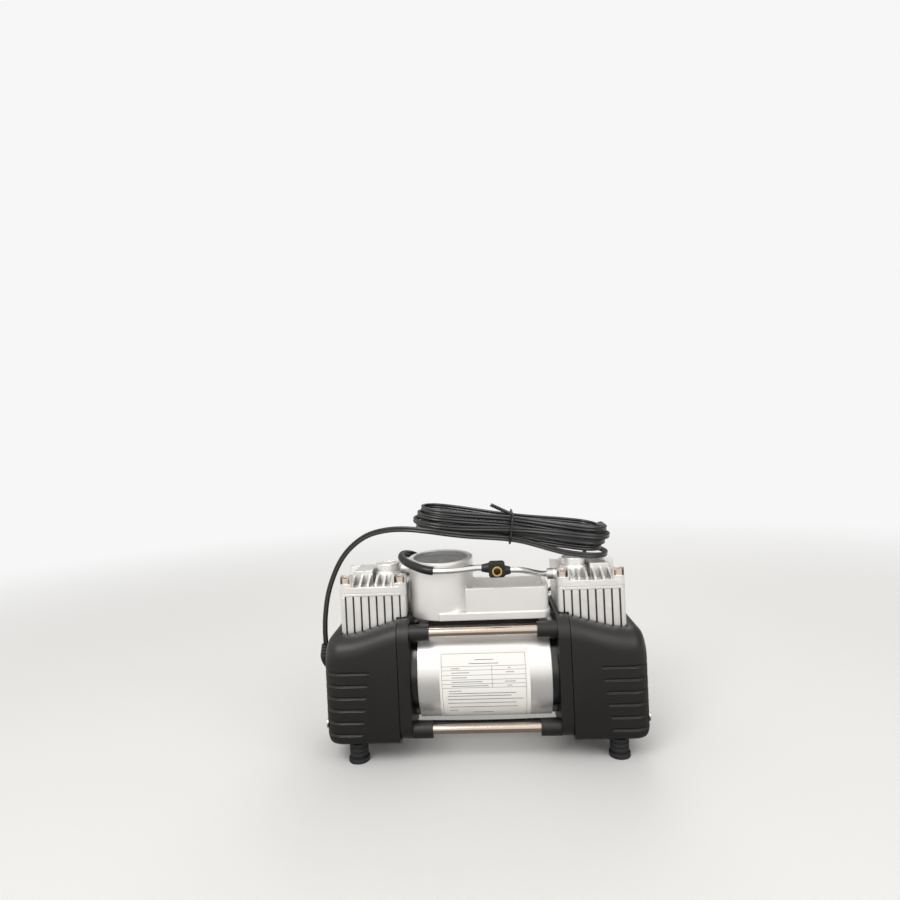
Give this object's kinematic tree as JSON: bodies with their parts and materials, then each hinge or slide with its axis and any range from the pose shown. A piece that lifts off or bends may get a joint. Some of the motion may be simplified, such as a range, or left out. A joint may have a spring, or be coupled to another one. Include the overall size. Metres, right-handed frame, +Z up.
{
  "type": "portable air compressor",
  "caption": "Low twin-cylinder air compressor: a silver motor held by tie rods between black end covers with finned cylinders, a gauge pod with a tray, and a tied power cord.",
  "frame": {"origin": "on the floor under the middle of the feet and end covers", "axes": "+X along the motor to the right stack, -Y the front with the outlet, +Z up"},
  "size_m": [0.2956, 0.1096, 0.2151],
  "materials": {
    "black_plastic": "moulded black plastic with a satin grain",
    "gloss_black": "smooth glossy black",
    "steel": "plain zinc-plated steel",
    "cast_aluminium": "die-cast, lightly blasted",
    "can_paint": "silver paint",
    "magnet": "dark sintered iron",
    "carbon": "carbon",
    "polished_rod": "polished steel rod",
    "foot_rubber": "soft black rubber",
    "silver_plastic": "silver paint on plastic, satin",
    "gauge_black": "matt black dial",
    "gauge_glass": "smoked lens",
    "needle_white": "white painted pointer",
    "brass": "turned brass",
    "chrome_tube": "bright bent tube",
    "hose_black": "black sleeve",
    "label_white": "white printed film, left without words",
    "rocker_red": "red rocker",
    "copper": "enamelled copper",
    "cord_black": "black cord jacket"
  },
  "bodies": {
    "frame": {"end_plate_left": "black_plastic", "end_plate_right": "black_plastic", "cover_left": "black_plastic", "cover_right": "black_plastic", "cover_screws": "steel", "crankcase_left": "cast_aluminium", "crankcase_right": "cast_aluminium", "cylinder_left": "cast_aluminium", "cylinder_right": "cast_aluminium", "valve_plates": "cast_aluminium", "head_left": "cast_aluminium", "head_right": "cast_aluminium", "head_screws": "steel", "motor_can": "can_paint", "motor_magnets": "magnet", "end_ring_left": "gloss_black", "end_ring_right": "gloss_black", "shaft_bearings": "steel", "brush_gear": "gloss_black", "brushes": "carbon", "tie_rods": "polished_rod", "rod_ferrules": "black_plastic", "feet": "foot_rubber", "foot_screws": "steel", "gauge_pod": "silver_plastic", "pod_saddle": "black_plastic", "pod_screws": "steel", "gauge_case": "gauge_black", "gauge_dial": "gauge_black", "gauge_bezel": "silver_plastic", "gauge_lens": "gauge_glass", "gauge_feed": "hose_black", "tee_block": "black_plastic", "outlet_port": "brass", "tube_left": "chrome_tube", "tube_right": "chrome_tube", "tube_nuts": "steel", "tube_sleeve": "hose_black", "rating_label": "label_white", "switch_case": "black_plastic", "motor_lead": "hose_black", "cord_gland": "cord_black", "cord_lead": "cord_black", "cord_hank": "cord_black", "cord_tail": "cord_black", "cord_tie": "cord_black", "plug_body": "black_plastic"},
    "rotor": {"motor_shaft": "steel", "armature_core": "magnet", "armature_winding": "copper", "commutator": "copper", "cranks": "steel", "pin_rollers": "steel"},
    "left_washer": {"thrust_washer_left": "brass"},
    "left_piston": {"piston_left": "cast_aluminium"},
    "right_washer": {"thrust_washer_right": "brass"},
    "right_piston": {"piston_right": "cast_aluminium"},
    "rocker": {"switch_rocker": "rocker_red"},
    "needle": {"gauge_needle": "needle_white"},
    "tip": {"plug_tip": "steel"}
  },
  "joints": [
    {"name": "motor_spin", "type": "hinge", "parent": "frame", "child": "rotor", "pos_m": [0, 0, 0.069], "axis": [1, 0, 0], "continuous": true},
    {"name": "left_washer_turn", "type": "hinge", "parent": "rotor", "child": "left_washer", "pos_m": [-0.089, 0, 0.0725], "axis": [1, 0, 0], "continuous": true},
    {"name": "left_piston_travel", "type": "hinge", "parent": "left_washer", "child": "left_piston", "pos_m": [-0.095, 0, 0.076], "axis": [1, 0, 0], "continuous": true},
    {"name": "right_washer_turn", "type": "hinge", "parent": "rotor", "child": "right_washer", "pos_m": [0.089, 0, 0.0655], "axis": [1, 0, 0], "continuous": true},
    {"name": "right_piston_travel", "type": "hinge", "parent": "right_washer", "child": "right_piston", "pos_m": [0.095, 0, 0.062], "axis": [1, 0, 0], "continuous": true},
    {"name": "rocker_tilt", "type": "hinge", "parent": "frame", "child": "rocker", "pos_m": [-0.13, -0.008, 0.078], "axis": [0, 1, 0], "range_deg": [-16, 0]},
    {"name": "needle_turn", "type": "hinge", "parent": "frame", "child": "needle", "pos_m": [-0.0355, -0.005, 0.169], "axis": [0, -0.0523, 0.9986], "range_deg": [-270, 0], "stiffness_Nm_per_rad": 0.00005},
    {"name": "tip_press", "type": "slide", "parent": "frame", "child": "tip", "axis": [1, 0, 0], "range_m": [0, 0.003], "stiffness_N_per_m": 600, "springref_m": -0.001}
  ],
  "couplings": [
    {"joint": "left_washer_turn", "follows": "motor_spin", "ratio": -2},
    {"joint": "left_piston_travel", "follows": "motor_spin", "ratio": 1},
    {"joint": "right_washer_turn", "follows": "motor_spin", "ratio": -2},
    {"joint": "right_piston_travel", "follows": "motor_spin", "ratio": 1}
  ]
}
